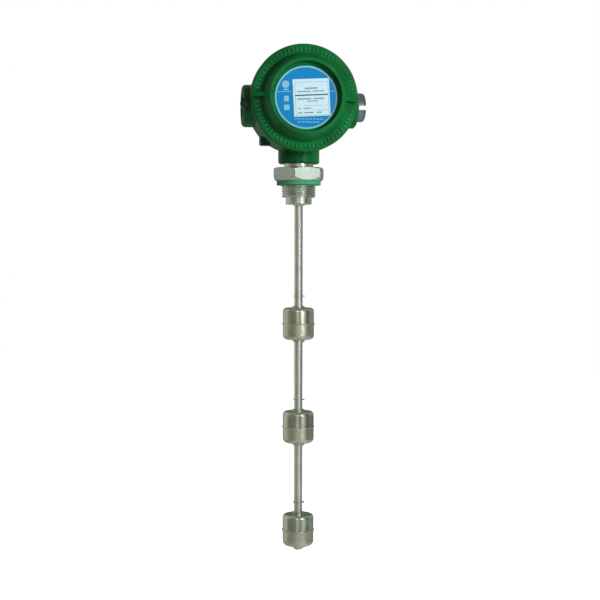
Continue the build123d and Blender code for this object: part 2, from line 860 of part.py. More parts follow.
with BuildPart() as conduit_plug:
    with BuildSketch(facing_right(head_start, boss_height)):
        Circle(plug_head_radius)
    extrude(amount=plug_head_length)
    fillet(conduit_plug.faces().sort_by(Axis.X)[-1].edges(), plug_head_round)
    with BuildSketch(facing_right(head_start, boss_height)):
        Circle(plug_thread_radius)
    extrude(amount=-plug_thread_length - plug_seal_thickness)
    with BuildSketch(facing_right(head_end, boss_height)):
        RegularPolygon(plug_socket_width / 2, 6, major_radius=False)
    extrude(amount=-plug_socket_depth, mode=Mode.SUBTRACT)

conduit_plug.part.label = "conduit_plug"
export_step(conduit_plug.part, "parts/conduit_plug.step")
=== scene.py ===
import json
from math import atan2, cos, hypot, pi, radians, sin, tau

import bmesh
import bpy
from bpy.props import FloatProperty, FloatVectorProperty, IntProperty, PointerProperty
from mathutils import Matrix, Vector


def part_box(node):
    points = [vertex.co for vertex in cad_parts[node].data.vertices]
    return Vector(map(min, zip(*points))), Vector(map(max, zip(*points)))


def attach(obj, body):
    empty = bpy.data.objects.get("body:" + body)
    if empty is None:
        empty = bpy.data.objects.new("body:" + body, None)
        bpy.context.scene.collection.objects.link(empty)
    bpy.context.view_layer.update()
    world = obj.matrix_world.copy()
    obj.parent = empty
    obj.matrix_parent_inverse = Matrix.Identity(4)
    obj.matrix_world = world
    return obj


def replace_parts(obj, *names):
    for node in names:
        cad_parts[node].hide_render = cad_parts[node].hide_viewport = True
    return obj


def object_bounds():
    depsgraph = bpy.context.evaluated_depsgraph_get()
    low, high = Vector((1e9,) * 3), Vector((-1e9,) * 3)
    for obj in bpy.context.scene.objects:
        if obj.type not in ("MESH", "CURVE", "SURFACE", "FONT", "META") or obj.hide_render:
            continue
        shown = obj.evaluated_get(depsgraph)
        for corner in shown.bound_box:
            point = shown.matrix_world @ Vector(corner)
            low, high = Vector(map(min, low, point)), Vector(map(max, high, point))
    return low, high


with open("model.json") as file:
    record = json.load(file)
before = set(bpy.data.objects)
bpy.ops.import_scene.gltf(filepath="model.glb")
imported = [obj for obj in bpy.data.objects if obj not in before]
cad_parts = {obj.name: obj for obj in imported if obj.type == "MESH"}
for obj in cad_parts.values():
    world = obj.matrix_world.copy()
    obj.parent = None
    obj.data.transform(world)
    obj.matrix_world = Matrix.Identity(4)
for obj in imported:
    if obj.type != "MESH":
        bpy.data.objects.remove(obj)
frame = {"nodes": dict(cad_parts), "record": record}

bl_info = {
    "name": "Level Switch Finish",
    "version": (1, 0, 0),
    "blender": (4, 5, 0),
    "location": "View3D > Sidebar > Level Switch",
    "description": "Finishes, threads, weld beads and printed foils of a magnetic float level switch",
    "category": "Object",
}

# Boxes of the frame's solids, from which the pieces below take their places
CAD_LOW, CAD_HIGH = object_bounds()
COVER_LOW, COVER_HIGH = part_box("housing_cover")
PLUG_LOW, PLUG_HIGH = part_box("hex_plug")
GASKET_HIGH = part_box("process_gasket")[1]
STEM_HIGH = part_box("stem_tube")[1]
LABEL_LOW, LABEL_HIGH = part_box("label_disc")
PLATE_LOW, PLATE_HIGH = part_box("data_plate")
ENTRY_PLUG_LOW, ENTRY_PLUG_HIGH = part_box("conduit_plug")
MOUNTS = {mount["name"]: mount for mount in frame["record"]["mounts"]}

MM = 0.001
# Corners closer together than the first are one corner, and those as near a cut as the second lie on it
MERGE_WITHIN = 0.001 * MM
CUT_WITHIN = 0.0001 * MM

COVER_CENTRE = (COVER_LOW + COVER_HIGH) / 2
STEM_RADIUS = STEM_HIGH.x
LABEL_RADIUS = (LABEL_HIGH.x - LABEL_LOW.x) / 2
LABEL_FACE = LABEL_LOW.y
PLATE_FACE = PLATE_LOW.y
LABEL_MIDDLE = (LABEL_LOW + LABEL_HIGH) / 2
PLATE_MIDDLE = (PLATE_LOW + PLATE_HIGH) / 2
FLOATS = (1, 2, 3)
# The stem's axis goes through this point, the origin of the frame
SEALING_POINT = (0, 0, 0)
X_AXIS, Z_AXIS = 0, 2

# Turns a shape made about +Z so that it faces forward, out of the cable entry, or out of the plug's boss
FACING_FRONT = Matrix.Rotation(radians(90), 4, "X")
FACING_LEFT = Matrix.Rotation(radians(-90), 4, "Y")
FACING_RIGHT = Matrix.Rotation(radians(90), 4, "Y")


def size(name, description, millimetres, **limits):
    """A length that a user may change, given in millimetres."""
    return FloatProperty(
        name=name, description=description, default=millimetres * MM, subtype="DISTANCE", unit="LENGTH",
        precision=5, **limits,
    )


def angle(name, description, degrees):
    """An angle that a user may change, given in degrees."""
    return FloatProperty(
        name=name, description=description, default=radians(degrees), subtype="ANGLE", unit="ROTATION",
    )


def colour(name, description, rgb):
    """A colour that a user may change, in linear red, green and blue."""
    return FloatVectorProperty(
        name=name, description=description, default=rgb, subtype="COLOR", size=3, min=0, max=1,
    )


class LevelSwitchSizes(bpy.types.PropertyGroup):
    """Sizes of the pieces that are added round the solids."""

    thread_pitch: size("Thread pitch", "Pitch of the process thread", 2.309)
    thread_depth: size("Thread depth", "Height of the process thread's profile", 1.48)
    thread_chamfer: size("Thread chamfer", "Lead-in at the process thread's lower end", 1.0)
    thread_end: size("Thread end", "Depth of the process thread under the sealing plane", 11.6)
    entry_pitch: size("Entry pitch", "Pitch of the cable entry's thread", 1.814)
    entry_depth: size("Entry depth", "Height of the cable entry's thread", 0.85)
    entry_length: size("Entry length", "Length of the cable entry's thread from its mouth", 14.5)
    plug_bore: size("Plug bore", "Radius of the stopping plug's thread", 12.35)
    plug_slot_width: size("Plug slot width", "Width of the slot across the stopping plug's head", 4.0)
    plug_slot_depth: size("Plug slot depth", "Depth of the slot across the stopping plug's head", 7.2)
    plug_round: size("Plug round", "Rounding of the stopping plug's head", 3.4)
    plug_turn: angle("Plug turn", "How far the stopping plug is screwed round past the horizontal", 5.9)
    plug_seat: size("Plug seat", "Distance of the stopping plug's head seat from the stem's axis", 55.8)
    spigot_radius: size("Spigot radius", "Radius of the plain end under the process thread", 12.5)
    spigot_end: size("Spigot end", "Depth of the plain end under the sealing plane", 18.3)
    spigot_chamfer: size("Spigot chamfer", "Chamfer on the plain end's lower edge", 0.6)
    hexagon_flats: size("Hexagon flats", "Width of the hexagon across its flats", 45.0)
    hexagon_top: size("Hexagon top", "Height of the hexagon's upper face", 16.9)
    hexagon_lower_chamfer: size("Hexagon lower chamfer", "Height of the chamfer under the hexagon", 3.4)
    hexagon_upper_chamfer: size("Hexagon upper chamfer", "Height of the chamfer over the hexagon", 1.4)
    hexagon_turn: angle("Hexagon turn", "Direction of one corner of the hexagon", 15.0)
    nipple_radius: size("Nipple radius", "Radius of the nipple over the hexagon", 14.0)
    nipple_chamfer: size("Nipple chamfer", "Chamfer on the nipple's upper edge", 1.2)
    nipple_bore: size("Nipple bore", "Radius of the bore in the nipple", 9.0)
    nipple_bore_floor: size("Nipple bore floor", "Height of the bore's floor", 15.5)
    wire_passage: size("Wire passage", "Radius of the hole that the wires go through", 3.2)
    stem_weld_radius: size("Stem weld radius", "Radius of the weld bead round the stem", 0.6)
    seam_bead_radius: size("Seam bead radius", "Radius of the weld bead round a float", 0.34)
    seam_radius: size("Seam radius", "Distance of a float's weld bead from its axis", 15.5)
    mark_length: size("Mark length", "Radial length of a cast mark on the rim", 3.9)
    mark_width: size("Mark width", "Width of a cast mark", 1.0)
    mark_height: size("Mark height", "Height of a cast mark over the rim", 1.1)
    mark_root: size("Mark root", "Depth of a cast mark's root in the rim", 0.9)
    mark_middle: size("Mark middle", "Distance of the marks from the cover's axis", 44.9)
    rim_depth: size("Rim depth", "Depth of the cover's rim behind its raised boss", 15.0)
    mark_count: IntProperty(
        name="Mark count", description="Marks on each side of the cover", default=34, min=2,
    )
    mark_gap: angle("Mark gap", "Angle kept free beside each rib", 8.0)
    rib_turn: angle("Rib turn", "How far the cover's ribs are turned from the horizontal", -2.5)
    ink_height: size("Ink height", "Thickness of the print on the foils", 0.03)
    ring_width: size("Ring width", "Width of the pale ring round the label", 1.5)


class LevelSwitchColours(bpy.types.PropertyGroup):
    """Colours of the finishes, in linear light."""

    enamel: colour("Enamel", "Green enamel of the castings", (0.0042, 0.126, 0.027))
    # The darker green is spread by noise in random patches over the enamel
    enamel_dark: colour("Enamel shade", "Darker green in the enamel's hollows", (0.0034, 0.084, 0.020))
    # Paler green of the rim marks: a painted highlight on the same enamel as the rest of the cover
    enamel_painted_highlight: colour("Raised enamel", "Paler green where the enamel stands out", (0.016, 0.230, 0.072))
    gasket: colour("Gasket", "Green of the sealing gasket", (0.045, 0.300, 0.130))
    turned: colour("Turned steel", "Turned stainless steel", (0.63, 0.67, 0.59))
    plug: colour("Plug steel", "Dull steel of the stopping plug", (0.20, 0.29, 0.27))
    pressed: colour("Pressed steel", "Pressed stainless steel of the floats", (0.58, 0.61, 0.48))
    label: colour("Label", "Blue field of the label", (0.004, 0.190, 0.440))
    label_ink: colour("Label ink", "Pale ring, line and fields on the label", (0.210, 0.430, 0.580))
    plate: colour("Plate", "Pale ground of the data plate", (0.500, 0.660, 0.730))
    plate_ink: colour("Plate ink", "Grey fields on the data plate", (0.200, 0.270, 0.300))
    bar_ink: colour("Bar ink", "Dark bar across the data plate", (0.045, 0.066, 0.074))
    rubber: colour("Rubber", "Black rubber of the seals", (0.018, 0.018, 0.019))
    brass: colour("Brass", "Plated brass of the earth screws", (0.70, 0.53, 0.26))
    zinc: colour("Zinc", "Zinc plated sheet and screws", (0.62, 0.62, 0.60))
    moulding: colour("Moulding", "Cream moulding of the terminal block", (0.72, 0.70, 0.62))
    jacket: colour("Wire jacket", "Red jacket of the lead wires", (0.52, 0.035, 0.03))
    laminate: colour("Laminate", "Green laminate of the reed board", (0.02, 0.16, 0.06))
    ferrite: colour("Ferrite", "Dark sintered magnet", (0.04, 0.04, 0.045))
    oxide: colour("Black oxide", "Blackened steel of the lock screw", (0.022, 0.024, 0.022))


class LevelSwitchView(bpy.types.PropertyGroup):
    """Where the camera stands, as in the photograph."""

    distance: FloatProperty(
        name="Distance", description="From the stem's axis to the camera", default=1.257, subtype="DISTANCE",
        unit="LENGTH",
    )
    height: FloatProperty(
        name="Height", description="Height of the camera", default=-0.0531, subtype="DISTANCE", unit="LENGTH",
    )
    lens: FloatProperty(name="Lens", description="Focal length in millimetres", default=78.24, min=1)
    yaw: angle("Yaw", "How far the camera stands round to the left", 7.2)
    rise: FloatProperty(name="Rise", description="Lens shift that lowers the picture's middle", default=-0.02)
    pitch: angle("Pitch", "How far the camera looks down", 2.08)
    roll: angle("Roll", "How far the picture leans", 0.12)
    aside: angle("Aside", "How far the camera looks past the stem, to the right", 0.066)


# Places of the Mix node's factor, its two colours and the colour that comes out
MIX_FACTOR, MIX_FIRST, MIX_SECOND = 0, 6, 7
MIX_RESULT = 2


class Socket:
    """One output of a shader tree. Arithmetic on it adds the Math nodes that work it out."""

    def __init__(self, tree, output):
        self.tree = tree
        self.output = output

    def node(self, kind, settings=None, inputs=None, output=0):
        """Adds a node of that kind: its settings first, then a value or a link for each input named."""
        added = self.tree.nodes.new(kind)
        for name, value in (settings or {}).items():
            setattr(added, name, value)
        for name, value in (inputs or {}).items():
            if isinstance(value, Socket):
                self.tree.links.new(value.output, added.inputs[name])
            else:
                added.inputs[name].default_value = value
        return Socket(self.tree, added.outputs[output])

    def maths(self, operation, other):
        """Adds the Math node that does this operation on this socket and another value."""
        return self.node("ShaderNodeMath", {"operation": operation}, {0: self, 1: other})

    def __add__(self, other):
        return self.maths("ADD", other)

    def __mul__(self, other):
        return self.maths("MULTIPLY", other)

    def __pow__(self, other):
        return self.maths("POWER", other)

    __radd__ = __add__
    __rmul__ = __mul__

    def part(self, axis):
        """The X, Y or Z of a vector."""
        return self.node("ShaderNodeSeparateXYZ", inputs={0: self}, output=axis)

    def larger(self, other):
        """The larger of this and another."""
        return self.maths("MAXIMUM", other)

    def rise(self, start, end):
        """0 below start, 1 above end, and a soft step between them."""
        limits = {"Value": self, "From Min": start, "From Max": end}
        return self.node("ShaderNodeMapRange", {"interpolation_type": "SMOOTHSTEP"}, limits)

    def noise(self, scale, detail=2.0, roughness=0.5):
        """Noise at this point, from 0 to 1."""
        inputs = {"Vector": self, "Scale": scale, "Detail": detail, "Roughness": roughness}
        return self.node("ShaderNodeTexNoise", inputs=inputs)

    def mapped(self, place=(0, 0, 0), scale=(1, 1, 1)):
        """This point moved by place, then stretched by scale."""
        moved = self.node("ShaderNodeVectorMath", {"operation": "SUBTRACT"}, {0: self, 1: place})
        return moved.node("ShaderNodeVectorMath", {"operation": "MULTIPLY"}, {0: moved, 1: scale})

    def colour_between(self, first, second):
        """The first colour where this is 0, the second where it is 1."""
        inputs = {MIX_FACTOR: self, MIX_FIRST: opaque(first), MIX_SECOND: opaque(second)}
        return self.node("ShaderNodeMix", {"data_type": "RGBA"}, inputs, MIX_RESULT)

    def bumped(self, distance, strength=1.0):
        """A normal for a surface that this raises by up to distance, in metres."""
        inputs = {"Strength": strength, "Distance": distance, "Height": self}
        return self.node("ShaderNodeBump", inputs=inputs)


def opaque(shade):
    """A colour with its alpha."""
    return (*shade, 1)


def toned(shade, share):
    """A colour with this share of its brightness."""
    return tuple(part * share for part in shade)


class Finish:
    """A material, its shader and the surface point that its patterns start from."""

    def __init__(self, name):
        self.material = bpy.data.materials.new(name)
        self.material.use_nodes = True
        self.tree = self.material.node_tree
        self.shader = self.tree.nodes["Principled BSDF"]
        self.point = Socket(self.tree, self.tree.nodes.new("ShaderNodeTexCoord").outputs["Object"])

    def set(self, **values):
        """Feeds the shader's inputs, with _ for a space in their names."""
        for name, value in values.items():
            entry = self.shader.inputs[name.replace("_", " ")]
            if isinstance(value, Socket):
                self.tree.links.new(value.output, entry)
            else:
                entry.default_value = value
        return self

    def rings(self, centre, axis, fineness):
        """Noise in rings round an axis (0, 1 or 2), as a lathe leaves them, from 0 to 1."""
        moved = self.point.mapped(centre)
        across = [moved.part(other) for other in range(3) if other != axis]
        reach = (across[0] * across[0] + across[1] * across[1]) ** 0.5
        along = moved.part(axis)
        place = reach.node("ShaderNodeCombineXYZ", inputs={0: reach, 1: along})
        return place.noise(fineness, 3.0, 0.6)


def enamel_finish(name, shade, dark, gloss):
    """Stoved enamel on a casting: even gloss with faint orange peel and darker patches at random."""
    finish = Finish(name)
    cloud = finish.point.noise(38.0, 3.0)
    peel = finish.point.noise(620.0, 1.5)
    cast = finish.point.noise(170.0, 2.0)
    specks = finish.point.noise(2600.0, 1.0).rise(0.62, 0.75)
    tone = cloud.rise(0.35, 0.7)
    surface = peel * 0.55 + cast * 0.45
    return finish.set(
        Base_Color=tone.colour_between(dark, shade),
        Roughness=0.17 + cloud * 0.08 + specks * 0.05,
        Normal=surface.bumped(0.11 * MM, 0.5),
        Specular_IOR_Level=gloss,
    ).material


def turned_finish(name, shade, centre, axis, roughness=0.24):
    """Stainless steel turned on a lathe: fine rings, and a little cloudiness."""
    finish = Finish(name)
    rings = finish.rings(centre, axis, 2600.0)
    cloud = finish.point.noise(60.0, 3.0)
    tone = (rings * 0.45 + cloud * 0.55).rise(0.3, 0.72)
    return finish.set(
        Metallic=1.0,
        Base_Color=tone.colour_between(toned(shade, 0.80), shade),
        Roughness=roughness + rings * 0.10 + cloud * 0.06,
        Normal=rings.bumped(0.045 * MM, 0.5),
    ).material


def pressed_finish(name, colours, roughness):
    """Float shells: drawn steel, polished round the axis, with a faint yellow cast."""
    finish = Finish(name)
    rings = finish.rings(SEALING_POINT, Z_AXIS, 1500.0)
    stain = finish.point.noise(85.0, 4.0, 0.6)
    dents = finish.point.noise(120.0, 1.0)
    tone = (rings * 0.3 + stain * 0.7).rise(0.3, 0.7)
    return finish.set(
        Metallic=1.0,
        Base_Color=tone.colour_between(toned(colours.pressed, 0.72), colours.pressed),
        Roughness=roughness + stain * 0.12 + rings * 0.06,
        Normal=(rings * 0.35 + dents * 0.65).bumped(0.06 * MM, 0.5),
    ).material


def weld_finish(colours):
    """Weld bead: rippled steel with a straw and blue heat tint."""
    finish = Finish("weld_bead")
    ripples = finish.point.noise(900.0, 2.0)
    tint = finish.point.noise(140.0, 2.0)
    straw = tuple(part * share for part, share in zip(colours.turned, (0.80, 0.66, 0.45)))
    return finish.set(
        Metallic=1.0,
        Base_Color=tint.rise(0.35, 0.7).colour_between(straw, colours.turned),
        Roughness=0.30 + ripples * 0.15,
        Normal=ripples.bumped(0.12 * MM, 0.7),
    ).material


def gasket_finish(colours):
    """Compressed fibre gasket: short pale fibres in matt green."""
    finish = Finish("green_gasket")
    fibres = finish.point.mapped(scale=(1.0, 1.0, 2.6)).noise(900.0, 3.0, 0.65)
    return finish.set(
        Base_Color=fibres.rise(0.35, 0.65).colour_between(toned(colours.gasket, 0.62), colours.gasket),
        Roughness=0.62 + fibres * 0.15,
        Normal=fibres.bumped(0.10 * MM, 0.6),
    ).material


def foil_finish(name, shade, roughness):
    """Printed foil: an even tone, a slight mottle and the ripple of a glued film."""
    finish = Finish(name)
    mottle = finish.point.noise(240.0, 3.0)
    ripple = finish.point.noise(75.0, 1.0)
    return finish.set(
        Base_Color=mottle.colour_between(toned(shade, 0.90), shade),
        Roughness=roughness + mottle * 0.12,
        Normal=(ripple * 0.8 + mottle * 0.2).bumped(0.06 * MM, 0.35),
        Specular_IOR_Level=0.12,
    ).material


def rubber_finish(colours):
    """Moulded rubber with a dull bloom."""
    finish = Finish("black_rubber")
    bloom = finish.point.noise(300.0, 3.0)
    return finish.set(
        Base_Color=bloom.rise(0.4, 0.75).colour_between(colours.rubber, toned(colours.rubber, 2.2)),
        Roughness=0.55 + bloom * 0.2,
        Normal=bloom.bumped(0.05 * MM, 0.4),
    ).material


def plated_finish(name, shade):
    """Plated small parts: bright metal with a fine grain."""
    finish = Finish(name)
    grain = finish.point.noise(1400.0, 2.0)
    cloud = finish.point.noise(160.0, 2.0)
    return finish.set(
        Metallic=1.0,
        Base_Color=cloud.colour_between(toned(shade, 0.78), shade),
        Roughness=0.26 + grain * 0.14,
        Normal=grain.bumped(0.04 * MM, 0.4),
    ).material


def moulded_finish(name, shade, roughness=0.45):
    """Moulded or extruded plastic with a fine spark texture."""
    finish = Finish(name)
    spark = finish.point.noise(1700.0, 2.0)
    cloud = finish.point.noise(200.0, 2.0)
    return finish.set(
        Base_Color=cloud.colour_between(toned(shade, 0.88), shade),
        Roughness=roughness + spark * 0.12,
        Normal=spark.bumped(0.04 * MM, 0.45),
    ).material


def glass_finish():
    """Clear glass capsule with faint draw lines."""
    finish = Finish("reed_glass")
    lines = finish.point.mapped(scale=(1.0, 1.0, 0.1)).noise(1200.0, 1.0)
    tinted, clear = (0.78, 0.90, 0.84), (0.90, 0.97, 0.94)
    return finish.set(
        Base_Color=lines.colour_between(tinted, clear),
        Roughness=0.03 + lines * 0.04,
        IOR=1.5,
        Transmission_Weight=0.9,
    ).material


def dress(nodes, material):
    """Gives solids of the frame a finish, in the slots of their own objects."""
    for name in nodes:
        node = frame["nodes"][name]
        if not node.material_slots:
            node.data.materials.append(None)
        for place in node.material_slots:
            place.link = "OBJECT"
            place.material = material


def add_piece(name, bm, material, body, sharp=35.0):
    """Makes the shape in bm a piece of its own, which rides on a body and takes a slot's finish."""
    bmesh.ops.remove_doubles(bm, verts=bm.verts, dist=MERGE_WITHIN)
    bmesh.ops.recalc_face_normals(bm, faces=bm.faces)
    mesh = bpy.data.meshes.new(name)
    bm.to_mesh(mesh)
    bm.free()
    mesh.materials.append(material)
    mesh.shade_smooth()
    mesh.set_sharp_from_angle(angle=radians(sharp))
    piece = bpy.data.objects.new(name, mesh)
    bpy.context.scene.collection.objects.link(piece)
    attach(piece, body)
    return piece


def spin_profile(bm, profile, steps=96, closed=False, turns=1, pitch=0.0):
    """Spins (radius, height) points round Z. With a pitch, the shape climbs like a thread."""
    corners = [bm.verts.new((radius, 0, height)) for radius, height in profile]
    edges = [bm.edges.new(pair) for pair in zip(corners, corners[1:])]
    if closed:
        edges.append(bm.edges.new((corners[-1], corners[0])))
    bmesh.ops.spin(
        bm, geom=corners + edges, cent=(0, 0, 0), axis=(0, 0, 1), dvec=(0, 0, pitch / steps),
        angle=tau * turns, steps=steps * turns, use_merge=pitch == 0,
    )


def place_shape(bm, matrix):
    """Moves all of bm by the matrix."""
    bmesh.ops.transform(bm, matrix=matrix, verts=bm.verts)


def thread_profile(root, depth, pitch):
    """One pitch of a rounded thread, from root to crest and back to root."""
    # Shares of the depth over the root, and of the pitch along the thread
    upward = ((0.0, 0.0), (0.05, 0.10), (0.50, 0.26), (0.93, 0.42), (1.0, 0.5))
    downward = ((0.93, 0.58), (0.50, 0.74), (0.05, 0.90), (0.0, 1.0))
    return [(root + depth * over, pitch * along) for over, along in upward + downward]


def everything_in(bm):
    """All corners, edges and faces, for a cut."""
    return bm.verts[:] + bm.edges[:] + bm.faces[:]


def trim_thread(bm, low, high):
    """Cuts a thread square at both ends and closes it with a flat end."""
    for end, side in ((low, -1), (high, 1)):
        cut = bmesh.ops.bisect_plane(
            bm, geom=everything_in(bm), dist=CUT_WITHIN, plane_co=(0, 0, end), plane_no=(0, 0, side),
            clear_outer=True,
        )
        rim = [item for item in cut["geom_cut"] if isinstance(item, bmesh.types.BMEdge)]
        bmesh.ops.contextual_create(bm, geom=rim)


def mill_slot(bm, half, floor):
    """Mills a slot along Y through the end that faces +X, down to the floor, and closes its walls."""
    upper_wall = ((0, 0, half), (0, 0, 1))
    lower_wall = ((0, 0, -half), (0, 0, 1))
    bottom = ((floor, 0, 0), (1, 0, 0))
    for point, normal in (upper_wall, lower_wall, bottom):
        bmesh.ops.bisect_plane(
            bm, geom=everything_in(bm), dist=CUT_WITHIN, plane_co=point, plane_no=normal,
        )
    middles = [(face, face.calc_center_median()) for face in bm.faces]
    waste = [face for face, middle in middles if abs(middle.z) < half and middle.x > floor]
    bmesh.ops.delete(bm, geom=waste, context="FACES")
    open_edges = [edge for edge in bm.edges if edge.is_boundary]
    for side in (half, -half):
        rim = [edge for edge in open_edges
               if all(abs(end.co.z - side) < MERGE_WITHIN for end in edge.verts)]
        corners = sorted({end for edge in rim for end in edge.verts}, key=lambda end: end.co.y)
        base = [corner for corner in corners if abs(corner.co.x - floor) < MERGE_WITHIN]
        added = bm.edges.new((base[0], base[-1]))
        bmesh.ops.contextual_create(bm, geom=[*rim, added])
    bmesh.ops.contextual_create(bm, geom=[edge for edge in bm.edges if edge.is_boundary])


def add_block(bm, across, up, width, height, thickness, turn=0.0):
    """A flat block with its back on Z = 0, centred on (across, up) and turned about its middle."""
    place = Matrix.Translation((across, up, thickness / 2)) @ Matrix.Rotation(turn, 4, "Z")
    bmesh.ops.create_cube(bm, size=1, matrix=place @ Matrix.Diagonal((width, height, thickness, 1)))


def add_disc(bm, across, up, radius, thickness, steps=40):
    """A flat disc with its back on Z = 0."""
    place = Matrix.Translation((across, up, thickness / 2))
    bmesh.ops.create_cone(
        bm, cap_ends=True, segments=steps, radius1=radius, radius2=radius, depth=thickness, matrix=place,
    )


def stretch_reach(corner, wanted):
    """Moves a corner straight out from the Z axis, or in, to the wanted distance."""
    share = wanted / hypot(corner.co.x, corner.co.y)
    corner.co.x *= share
    corner.co.y *= share


def add_rippled_ring(bm, radius, height, bead, ripples, swelling, steps=180, sides=10):
    """A weld bead round Z, whose section swells once for each ripple."""
    turns = [tau * side / sides for side in range(sides)]
    section = [(radius + bead * cos(turn), height + bead * sin(turn)) for turn in turns]
    spin_profile(bm, section, steps=steps, closed=True)
    for corner in bm.verts:
        reach = hypot(corner.co.x, corner.co.y)
        swell = 1 + swelling * sin(ripples * atan2(corner.co.y, corner.co.x))
        stretch_reach(corner, radius + (reach - radius) * swell)
        corner.co.z = height + (corner.co.z - height) * swell


class LEVELSWITCH_OT_castings(bpy.types.Operator):
    """Enamel the head and its cover"""

    bl_idname = "levelswitch.castings"
    bl_label = "Enamel Castings"

    def execute(self, context):
        colours = context.scene.level_switch_colours
        enamel = enamel_finish("green_enamel", colours.enamel, colours.enamel_dark, gloss=0.10)
        dress(("housing_body", "housing_cover"), enamel)
        return {"FINISHED"}


class LEVELSWITCH_OT_rim_marks(bpy.types.Operator):
    """Cast the plain raised marks round the cover's rim, in a paler green that is a painted highlight"""

    bl_idname = "levelswitch.rim_marks"
    bl_label = "Cast Rim Marks"

    def execute(self, context):
        sizes = context.scene.level_switch_sizes
        colours = context.scene.level_switch_colours
        depth = sizes.mark_height + sizes.mark_root
        middle = sizes.mark_middle
        sweep = pi - 2 * sizes.mark_gap
        shorter = 0.86
        rounding = 0.3 * MM
        bm = bmesh.new()
        for side in (0, pi):
            for number in range(sizes.mark_count):
                turn = side + sizes.rib_turn + sizes.mark_gap + sweep * number / (sizes.mark_count - 1)
                # The middle one of every three marks is shorter
                length = sizes.mark_length * (shorter if number % 3 == 1 else 1.0)
                add_block(bm, middle * cos(turn), middle * sin(turn), length, sizes.mark_width, depth, turn)
        edges = [edge for edge in bm.edges if min(corner.co.z for corner in edge.verts) > depth / 2]
        bmesh.ops.bevel(
            bm, geom=edges, offset=rounding, segments=2, profile=0.5, affect="EDGES", material=-1,
        )
        rim_front = COVER_LOW.y + sizes.rim_depth
        place_shape(bm, Matrix.Translation((0, rim_front + sizes.mark_root, COVER_CENTRE.z)) @ FACING_FRONT)
        # The marks' paler green is a painted highlight, mixed at random with the plain enamel
        raised = enamel_finish("painted_highlight_enamel", colours.enamel_painted_highlight, colours.enamel, gloss=0.5)
        add_piece("cover_rim_marks", bm, raised, "cover")
        return {"FINISHED"}


